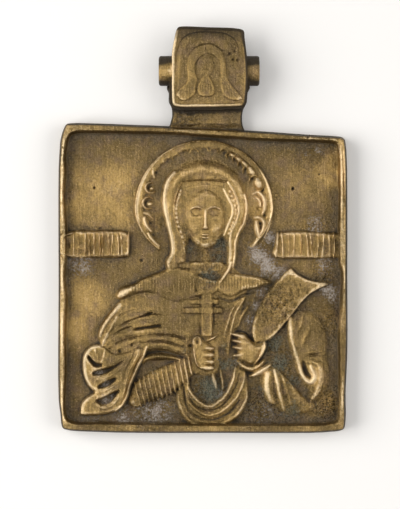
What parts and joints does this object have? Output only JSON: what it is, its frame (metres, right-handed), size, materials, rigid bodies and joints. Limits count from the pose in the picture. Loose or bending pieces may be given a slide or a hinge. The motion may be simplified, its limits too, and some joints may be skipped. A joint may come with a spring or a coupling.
{
  "type": "pectoral icon",
  "caption": "Cast brass pectoral icon: bordered plate with a haloed half-length figure in relief and a headpiece bored crosswise for a neck cord.",
  "frame": {"origin": "centre of the outline, on the flat back", "axes": "+Z out of the face, +Y towards the headpiece, +X to the viewer's right"},
  "size_m": [0.0428, 0.06, 0.0055],
  "materials": {
    "brass": "old cast brass, brown patina in the hollows, rubbed bright on the crests"
  },
  "bodies": {
    "root": {"icon": "brass"}
  },
  "joints": []
}
